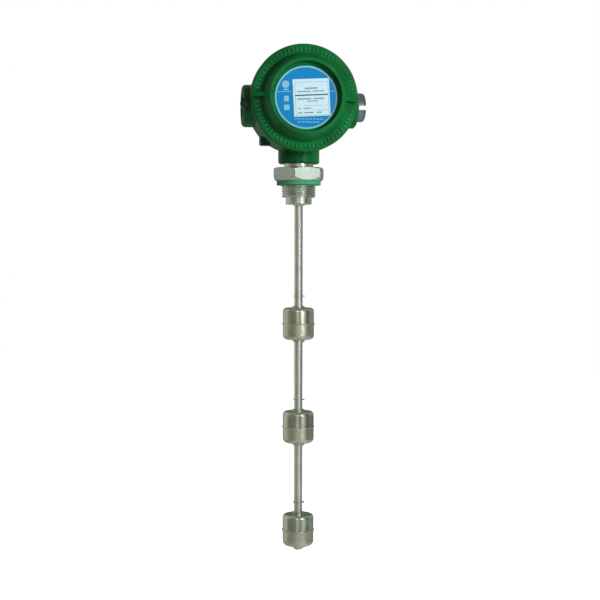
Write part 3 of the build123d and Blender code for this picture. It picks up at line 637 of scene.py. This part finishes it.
class LEVELSWITCH_OT_process_plug(bpy.types.Operator):
    """Turn the process plug with its hexagon, nipple, spigot and thread"""

    bl_idname = "levelswitch.process_plug"
    bl_label = "Turn Process Plug"

    def execute(self, context):
        sizes = context.scene.level_switch_sizes
        colours = context.scene.level_switch_colours
        steel = turned_finish("turned_stainless", tuple(colours.turned), SEALING_POINT, Z_AXIS)
        crest = MOUNTS["process_thread"]["dims"]["r_mm"] * MM
        root = crest - sizes.thread_depth
        plug = self.body(sizes, root, steel)
        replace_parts(plug, "hex_plug")
        self.thread(sizes, crest, root, steel)
        self.weld(sizes, colours)
        return {"FINISHED"}

    def body(self, sizes, root, steel):
        """The turned blank in one spin, with the hexagon milled on it."""
        # The core lies just inside the thread's root and ends just inside the thread
        core = root - 0.05 * MM
        core_end = -sizes.thread_end + 0.1 * MM
        collar_edge = STEM_RADIUS + 0.5 * MM
        collar_foot = STEM_RADIUS + 2.2 * MM
        flats = sizes.hexagon_flats / 2
        corner = flats / cos(radians(30))
        face = flats - 0.4 * MM
        low, high = GASKET_HIGH.z, sizes.hexagon_top
        top = PLUG_HIGH.z
        profile = [
            (STEM_RADIUS, PLUG_LOW.z),
            (collar_edge, PLUG_LOW.z),
            (collar_foot, -sizes.spigot_end),
            (sizes.spigot_radius - sizes.spigot_chamfer, -sizes.spigot_end),
            (sizes.spigot_radius, sizes.spigot_chamfer - sizes.spigot_end),
            (sizes.spigot_radius, core_end),
            (core, core_end),
            (core, low),
            (face, low),
            (corner, low + sizes.hexagon_lower_chamfer),
            (corner, high - sizes.hexagon_upper_chamfer),
            (face, high),
            (sizes.nipple_radius, high),
            (sizes.nipple_radius, top - sizes.nipple_chamfer),
            (sizes.nipple_radius - sizes.nipple_chamfer, top),
            (sizes.nipple_bore, top),
            (sizes.nipple_bore, sizes.nipple_bore_floor),
            (sizes.wire_passage, sizes.nipple_bore_floor),
            (sizes.wire_passage, STEM_HIGH.z),
            (STEM_RADIUS, STEM_HIGH.z),
        ]
        bm = bmesh.new()
        spin_profile(bm, profile, steps=144, closed=True)
        for vertex in bm.verts:
            if hypot(vertex.co.x, vertex.co.y) <= face + 0.01 * MM:
                continue
            # Past the chamfer's inner edge, the round blank is milled back to the hexagon
            direction = (atan2(vertex.co.y, vertex.co.x) - sizes.hexagon_turn) % (tau / 6)
            side = flats / cos(direction - tau / 12)
            share = (side - face) / (corner - face)
            stretch_reach(vertex, side)
            if vertex.co.z < (low + high) / 2:
                vertex.co.z = low + sizes.hexagon_lower_chamfer * share
            else:
                vertex.co.z = high - sizes.hexagon_upper_chamfer * share
        sharp = 24.0
        plug = add_piece("process_plug", bm, steel, "head", sharp)
        edge = plug.modifiers.new("broken_edges", "BEVEL")
        edge.width = 0.22 * MM
        edge.segments = 2
        edge.limit_method = "ANGLE"
        edge.angle_limit = radians(sharp)
        edge.use_clamp_overlap = True
        return plug

    def thread(self, sizes, crest, root, steel):
        """The process thread, chamfered at its lower end and cut square just over the sealing plane."""
        pitch = sizes.thread_pitch
        # The thread is spun longer than it is needed at both ends, and then cut
        turns = int(sizes.thread_end / pitch) + 3
        start = -sizes.thread_end - 1.5 * pitch
        upper_end = 0.6 * MM
        profile = thread_profile(root, sizes.thread_depth, pitch)
        bm = bmesh.new()
        spin_profile(bm, profile, steps=96, turns=turns, pitch=pitch)
        place_shape(bm, Matrix.Translation((0, 0, start)))
        bmesh.ops.remove_doubles(bm, verts=bm.verts, dist=MERGE_WITHIN)
        for vertex in bm.verts:
            limit = max(root, crest - sizes.thread_chamfer + vertex.co.z + sizes.thread_end)
            if hypot(vertex.co.x, vertex.co.y) > limit:
                stretch_reach(vertex, limit)
        trim_thread(bm, -sizes.thread_end, upper_end)
        add_piece("process_thread_crests", bm, steel, "head", sharp=60.0)

    def weld(self, sizes, colours):
        """The bead that joins the stem to the plug, just under the plain end."""
        radius = STEM_RADIUS + 0.7 * MM
        height = -sizes.spigot_end - 0.3 * MM
        bm = bmesh.new()
        add_rippled_ring(bm, radius, height, sizes.stem_weld_radius, ripples=22, swelling=0.10)
        add_piece("stem_weld", bm, weld_finish(colours), "head", sharp=70.0)


class LEVELSWITCH_OT_seals(bpy.types.Operator):
    """Finish the process gasket and the rubber seals"""

    bl_idname = "levelswitch.seals"
    bl_label = "Finish Seals"

    def execute(self, context):
        colours = context.scene.level_switch_colours
        dress(("process_gasket",), gasket_finish(colours))
        dress(("cover_o_ring", "plug_seal"), rubber_finish(colours))
        return {"FINISHED"}


class LEVELSWITCH_OT_stem(bpy.types.Operator):
    """Finish the stem, its end plug and the stop clips"""

    bl_idname = "levelswitch.stem"
    bl_label = "Finish Stem"

    def execute(self, context):
        colours = context.scene.level_switch_colours
        tube = turned_finish("drawn_tube", tuple(colours.turned), SEALING_POINT, Z_AXIS, roughness=0.33)
        dress(("stem_tube", "stem_end_plug"), tube)
        clips = [f"stop_clip_{side}_{number}" for number in FLOATS for side in ("lower", "upper")]
        dress(clips, plated_finish("spring_steel", tuple(colours.zinc)))
        return {"FINISHED"}


class LEVELSWITCH_OT_floats(bpy.types.Operator):
    """Finish the floats and lay the weld bead round each seam"""

    bl_idname = "levelswitch.floats"
    bl_label = "Finish Floats"

    def execute(self, context):
        sizes = context.scene.level_switch_sizes
        colours = context.scene.level_switch_colours
        upper = pressed_finish("pressed_upper", colours, roughness=0.15)
        lower = pressed_finish("pressed_lower", colours, roughness=0.27)
        bead = weld_finish(colours)
        magnet = moulded_finish("ferrite", tuple(colours.ferrite), roughness=0.6)
        for number in FLOATS:
            dress((f"float_{number}_upper_shell", f"float_{number}_bore_tube"), upper)
            dress((f"float_{number}_lower_shell",), lower)
            dress((f"float_{number}_magnet",), magnet)
            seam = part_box(f"float_{number}_upper_shell")[0].z
            bm = bmesh.new()
            add_rippled_ring(
                bm, sizes.seam_radius, seam, sizes.seam_bead_radius, ripples=90, swelling=0.12, steps=360,
            )
            name = f"float_{number}_seam_bead"
            add_piece(name, bm, bead, f"float_{number}", sharp=70.0)
        return {"FINISHED"}


class LEVELSWITCH_OT_label(bpy.types.Operator):
    """Print the label and the data plate with plain fields and lines"""

    bl_idname = "levelswitch.label"
    bl_label = "Print Label"

    def execute(self, context):
        sizes = context.scene.level_switch_sizes
        colours = context.scene.level_switch_colours
        dress(("label_disc",), foil_finish("blue_foil", tuple(colours.label), roughness=0.32))
        dress(("data_plate",), foil_finish("plate_foil", tuple(colours.plate), roughness=0.34))
        self.label_print(sizes, colours)
        self.plate_print(sizes, colours)
        return {"FINISHED"}

    def add_fields(self, bm, fields, ink, turn=0.0):
        """Plain printed fields, each given as (across, up, width, height) in millimetres."""
        for across, up, width, height in fields:
            add_block(bm, across * MM, up * MM, width * MM, height * MM, ink, turn)

    def label_print(self, sizes, colours):
        """Pale ring, line, disc, three plain fields and two rows of dashes."""
        ink = sizes.ink_height
        inner = LABEL_RADIUS - sizes.ring_width
        section = [(inner, 0), (LABEL_RADIUS, 0), (LABEL_RADIUS, ink), (inner, ink)]
        bm = bmesh.new()
        spin_profile(bm, section, steps=128, closed=True)
        lines = ((-20.9, 5.0, 14.2, 0.5), (25.1, 6.1, 6.8, 0.5))
        fields = ((-18.2, -1.3, 4.3, 5.0), (-17.9, -9.4, 5.0, 5.0), (-18.5, 6.9, 4.6, 1.3))
        dash_step = 3.4
        upper_row = [(-9.5 + dash_step * place, -19.7, 2.5, 0.75) for place in range(8)]
        lower_row = [(-6.2 + dash_step * place, -22.5, 2.5, 0.75) for place in range(6)]
        askew = radians(1.5)
        self.add_fields(bm, (*lines, *fields, *upper_row, *lower_row), ink, askew)
        add_disc(bm, -19.0 * MM, 11.7 * MM, 3.4 * MM, ink)
        place_shape(bm, Matrix.Translation((LABEL_MIDDLE.x, LABEL_FACE, LABEL_MIDDLE.z)) @ FACING_FRONT)
        pale = foil_finish("label_ink", tuple(colours.label_ink), roughness=0.34)
        add_piece("label_print", bm, pale, "cover")

    def plate_print(self, sizes, colours):
        """Thin frame, a dark bar and grey rows of a blank table."""
        rows = [
            (0.0, 8.5, 12.0, 1.3),
            (-6.8, 5.7, 12.6, 1.1), (6.7, 5.7, 10.6, 1.1),
            (-6.8, -1.1, 12.6, 1.2), (6.7, -1.1, 10.6, 1.2),
            (0.6, -3.3, 10.0, 1.0),
            (3.7, -7.4, 23.0, 0.25),
            (-11.6, -9.8, 2.4, 1.1), (-4.2, -9.8, 6.4, 1.1),
            (7.6, -11.7, 15.0, 0.25),
            (-11.2, -13.8, 4.2, 1.2), (-3.1, -13.8, 8.6, 1.2), (6.6, -13.8, 4.6, 1.2),
        ]
        bar = [(0.1, 2.3, 30.4, 1.15)]
        # The frame's middle, half its width, and the width of its line
        across, up, half, line = 0.4, -1.0, 15.3, 0.3
        border = [
            (across, half + up, 2 * half, line), (across, -half + up, 2 * half, line),
            (across - half, up, line, 2 * half), (across + half, up, line, 2 * half),
        ]
        askew = Matrix.Rotation(radians(3), 4, "Z")
        place = Matrix.Translation((PLATE_MIDDLE.x, PLATE_FACE, PLATE_MIDDLE.z)) @ FACING_FRONT @ askew
        for name, fields, shade in (
            ("plate_rows", rows + border, colours.plate_ink),
            ("plate_bar", bar, colours.bar_ink),
        ):
            bm = bmesh.new()
            self.add_fields(bm, fields, sizes.ink_height)
            place_shape(bm, place)
            ink = foil_finish(f"{name}_ink", tuple(shade), roughness=0.4)
            add_piece(name, bm, ink, "cover")


class LEVELSWITCH_OT_entries(bpy.types.Operator):
    """Finish the stopping plug and cut the cable entry's thread"""

    bl_idname = "levelswitch.entries"
    bl_label = "Finish Entries"

    def execute(self, context):
        sizes = context.scene.level_switch_sizes
        colours = context.scene.level_switch_colours
        middle = (ENTRY_PLUG_LOW + ENTRY_PLUG_HIGH) / 2
        centre = (0, middle.y, middle.z)
        steel = turned_finish("turned_plug", tuple(colours.plug), centre, X_AXIS, roughness=0.30)
        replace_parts(self.slotted_plug(sizes, centre, steel), "conduit_plug")
        self.entry_thread(sizes)
        return {"FINISHED"}

    def slotted_plug(self, sizes, centre, steel):
        """The stopping plug, whose round head is split by a wide slot that runs from front to back."""
        bore, rounding = sizes.plug_bore, sizes.plug_round
        head = (ENTRY_PLUG_HIGH.z - ENTRY_PLUG_LOW.z) / 2
        end, top = ENTRY_PLUG_LOW.x, ENTRY_PLUG_HIGH.x
        chamfer = 1.0 * MM
        shank = [(0, end), (bore - chamfer, end), (bore, end + chamfer), (bore, sizes.plug_seat)]
        bend = [(head - rounding * (1 - cos(turn)), top - rounding * (1 - sin(turn)))
                for turn in (radians(15 * step) for step in range(7))]
        bm = bmesh.new()
        spin_profile(bm, [*shank, (head, sizes.plug_seat), *bend, (0, top)], steps=96)
        place_shape(bm, FACING_RIGHT)
        bmesh.ops.remove_doubles(bm, verts=bm.verts, dist=MERGE_WITHIN)
        mill_slot(bm, sizes.plug_slot_width / 2, top - sizes.plug_slot_depth)
        place_shape(bm, Matrix.Translation(centre) @ Matrix.Rotation(sizes.plug_turn, 4, "X"))
        return add_piece("stopping_plug", bm, steel, "head", sharp=30.0)

    def entry_thread(self, sizes):
        """A thread that stands inward from the bore's wall, so that its crest is the smaller radius."""
        entry = MOUNTS["cable_entry"]
        wall = entry["dims"]["r_mm"] * MM
        mouth = Vector(entry["pos_m"])
        pitch = sizes.entry_pitch
        # The last turn ends one pitch and a little more inside the mouth
        turns = int(sizes.entry_length / pitch) - 1
        start = -(turns + 1) * pitch - 0.6 * MM
        profile = thread_profile(wall, -sizes.entry_depth, pitch)
        bm = bmesh.new()
        spin_profile(bm, profile, steps=80, turns=turns, pitch=pitch)
        place_shape(bm, Matrix.Translation((0, 0, start)))
        place_shape(bm, Matrix.Translation(mouth) @ FACING_LEFT)
        enamel = frame["nodes"]["housing_body"].material_slots[0].material
        add_piece("cable_entry_thread", bm, enamel, "head", sharp=60.0)


class LEVELSWITCH_OT_fittings(bpy.types.Operator):
    """Finish the screws, the terminals and the parts inside the stem"""

    bl_idname = "levelswitch.fittings"
    bl_label = "Finish Fittings"

    def execute(self, context):
        colours = context.scene.level_switch_colours
        zinc = plated_finish("zinc_plate", tuple(colours.zinc))
        dress(("terminal_plate", "plate_screws"), zinc)
        dress(("cover_lock_screw",), moulded_finish("black_oxide", tuple(colours.oxide), roughness=0.32))
        brass = plated_finish("earth_brass", tuple(colours.brass))
        dress(("earth_washer", "earth_screw", "inner_earth_screw", "terminal_screws"), brass)
        dress(("terminal_block",), moulded_finish("terminal_moulding", tuple(colours.moulding)))
        dress(("lead_wires",), moulded_finish("wire_jacket", tuple(colours.jacket), roughness=0.38))
        dress(("reed_board",), moulded_finish("board_laminate", tuple(colours.laminate), roughness=0.35))
        dress([f"reed_switch_{number}" for number in FLOATS], glass_finish())
        return {"FINISHED"}


class LEVELSWITCH_OT_studio(bpy.types.Operator):
    """Set up the pale floor, the white world, the lamps, the cards for reflections and the camera"""

    bl_idname = "levelswitch.studio"
    bl_label = "Set Up Studio"

    def execute(self, context):
        self.floor()
        self.world(context)
        self.lamps(context)
        self.cards(context)
        self.camera(context)
        context.scene.view_settings.view_transform = "Standard"
        return {"FINISHED"}

    def floor(self):
        """A pale floor well below the stem's end, which is white to the camera."""
        drop = 0.28
        black, white = (0, 0, 0), (1, 1, 1)
        bm = bmesh.new()
        bmesh.ops.create_grid(bm, x_segments=8, y_segments=8, size=4.0)
        place_shape(bm, Matrix.Translation((0, 0, CAD_LOW.z - drop)))
        finish = Finish("pale_floor")
        rays = finish.tree.nodes.new("ShaderNodeLightPath")
        seen = Socket(finish.tree, rays.outputs["Is Camera Ray"])
        finish.set(
            Base_Color=(0.80, 0.80, 0.78, 1),
            Roughness=0.9,
            Emission_Color=seen.colour_between(black, white),
            Emission_Strength=1.0,
        )
        self.stage_piece("floor", bm, finish.material)

    def stage_piece(self, name, bm, material):
        """Links a stage object, which isn't part of the switch."""
        mesh = bpy.data.meshes.new(name)
        bm.to_mesh(mesh)
        bm.free()
        mesh.materials.append(material)
        made = bpy.data.objects.new(name, mesh)
        bpy.context.scene.collection.objects.link(made)
        return made

    def around(self, context, bearing, distance, height):
        """A place round the stem. Its bearing is counted from the camera, in degrees to the right."""
        turn = radians(bearing) - context.scene.level_switch_view.yaw
        return Vector((sin(turn) * distance, -cos(turn) * distance, height))

    def world(self, context):
        """White to the camera and through glass, a grey in reflections and a dim grey as light."""
        as_light, in_reflections = 0.16, 0.26
        sky = bpy.data.worlds.new("studio")
        context.scene.world = sky
        sky.use_nodes = True
        tree = sky.node_tree
        background = tree.nodes["Background"]
        rays = tree.nodes.new("ShaderNodeLightPath")
        seen = Socket(tree, rays.outputs["Is Camera Ray"])
        glossy = Socket(tree, rays.outputs["Is Glossy Ray"])
        through = Socket(tree, rays.outputs["Is Transmission Ray"])
        strength = as_light + seen.larger(through) * (1 - as_light) + glossy * in_reflections
        tree.links.new(strength.output, background.inputs["Strength"])
        background.inputs["Color"].default_value = (1, 1, 1, 1)

    def lamps(self, context):
        """A key and a fill, which reflections leave out, and a strip and a spot, which they show."""
        # Name, bearing, distance, height, width, height of the panel, watts, colour, shown in reflections
        lamps = (
            ("key_lamp", 46.0, 1.20, 0.26, 0.45, 0.45, 14.2, (0.96, 0.99, 1.0), False),
            ("window_strip", 31.0, 1.25, 0.16, 0.12, 0.90, 4.6, (0.88, 0.95, 1.0), True),
            ("warm_spot", -9.0, 1.30, 0.42, 0.16, 0.16, 1.1, (1.0, 0.97, 0.88), True),
            ("back_fill", 165.0, 1.40, 0.45, 0.80, 0.80, 9.0, (1.0, 1.0, 1.0), False),
        )
        for name, bearing, distance, height, width, tall, power, shade, mirrored in lamps:
            light = bpy.data.lights.new(name, "AREA")
            light.shape = "RECTANGLE"
            light.size = width
            light.size_y = tall
            light.energy = power
            light.color = shade
            lamp = bpy.data.objects.new(name, light)
            context.scene.collection.objects.link(lamp)
            place = self.around(context, bearing, distance, height)
            aim = Vector((0, 0, height / 2))
            lamp.location = place
            lamp.rotation_mode = "QUATERNION"
            lamp.rotation_quaternion = (place - aim).to_track_quat("Z", "Y")
            lamp.visible_glossy = mirrored

    def cards(self, context):
        """Cards that only reflections show, for the dark and pale bands on the metal."""
        away, tall, drop = 0.9, 1.6, 0.1
        # Name, bearing, width and brightness
        cards = (
            ("far_left_card", -114.0, 0.95, (0.58, 0.60, 0.54)),
            ("left_card", -41.0, 0.84, (0.22, 0.22, 0.18)),
            ("warm_card", -5.0, 0.15, (0.95, 0.94, 0.76)),
            ("pale_card", 43.0, 0.34, (0.50, 0.62, 0.54)),
            ("right_card", 71.0, 0.44, (0.10, 0.11, 0.10)),
            ("back_card", 178.0, 0.75, (0.10, 0.15, 0.11)),
        )
        for name, bearing, width, level in cards:
            card = Finish(name)
            weave = card.point.noise(30.0)
            card.set(
                Base_Color=(0, 0, 0, 1),
                Emission_Color=weave.colour_between(level, toned(level, 1.2)),
                Emission_Strength=1.0,
            )
            place = self.around(context, bearing, away, 0.0)
            bm = bmesh.new()
            bmesh.ops.create_grid(bm, x_segments=2, y_segments=2, size=0.5)
            facing = place.to_track_quat("Z", "Y").to_matrix().to_4x4()
            lowered = Matrix.Translation(place - Vector((0, 0, drop)))
            place_shape(bm, lowered @ facing @ Matrix.Diagonal((width, tall, 1, 1)))
            made = self.stage_piece(name, bm, card.material)
            made.visible_camera = False
            made.visible_diffuse = False
            made.visible_shadow = False
            made.visible_transmission = False

    def camera(self, context):
        """The photograph's place and angle."""
        view = context.scene.level_switch_view
        lens = bpy.data.cameras.new("photo_camera")
        lens.lens = view.lens
        lens.sensor_width = 36.0
        lens.shift_y = view.rise
        camera = bpy.data.objects.new("photo_camera", lens)
        context.scene.collection.objects.link(camera)
        camera.location = (-view.distance * sin(view.yaw), -view.distance * cos(view.yaw), view.height)
        upright = Matrix.Rotation(radians(90) - view.pitch, 4, "X")
        heading = Matrix.Rotation(-view.yaw - view.aside, 4, "Z")
        lean = Matrix.Rotation(view.roll, 4, "Z")
        camera.rotation_mode = "QUATERNION"
        camera.rotation_quaternion = (heading @ upright @ lean).to_quaternion()
        context.scene.camera = camera


class LEVELSWITCH_PT_panel(bpy.types.Panel):
    """Lists the steps that dress the level switch"""

    bl_label = "Level Switch"
    bl_idname = "LEVELSWITCH_PT_panel"
    bl_space_type = "VIEW_3D"
    bl_region_type = "UI"
    bl_category = "Level Switch"

    def draw(self, context):
        for operator in OPERATORS:
            self.layout.operator(operator.bl_idname)


OPERATORS = (
    LEVELSWITCH_OT_castings,
    LEVELSWITCH_OT_rim_marks,
    LEVELSWITCH_OT_process_plug,
    LEVELSWITCH_OT_seals,
    LEVELSWITCH_OT_stem,
    LEVELSWITCH_OT_floats,
    LEVELSWITCH_OT_label,
    LEVELSWITCH_OT_entries,
    LEVELSWITCH_OT_fittings,
    LEVELSWITCH_OT_studio,
)
GROUPS = {
    "level_switch_sizes": LevelSwitchSizes,
    "level_switch_colours": LevelSwitchColours,
    "level_switch_view": LevelSwitchView,
}


def register():
    for group in (*GROUPS.values(), *OPERATORS, LEVELSWITCH_PT_panel):
        bpy.utils.register_class(group)
    for name, group in GROUPS.items():
        setattr(bpy.types.Scene, name, PointerProperty(type=group))


def unregister():
    for name in GROUPS:
        delattr(bpy.types.Scene, name)
    for group in reversed((*GROUPS.values(), *OPERATORS, LEVELSWITCH_PT_panel)):
        bpy.utils.unregister_class(group)


def main():
    register()
    for operator in OPERATORS:
        getattr(bpy.ops.levelswitch, operator.bl_idname.split(".")[1])()


if __name__ == "__main__":
    main()
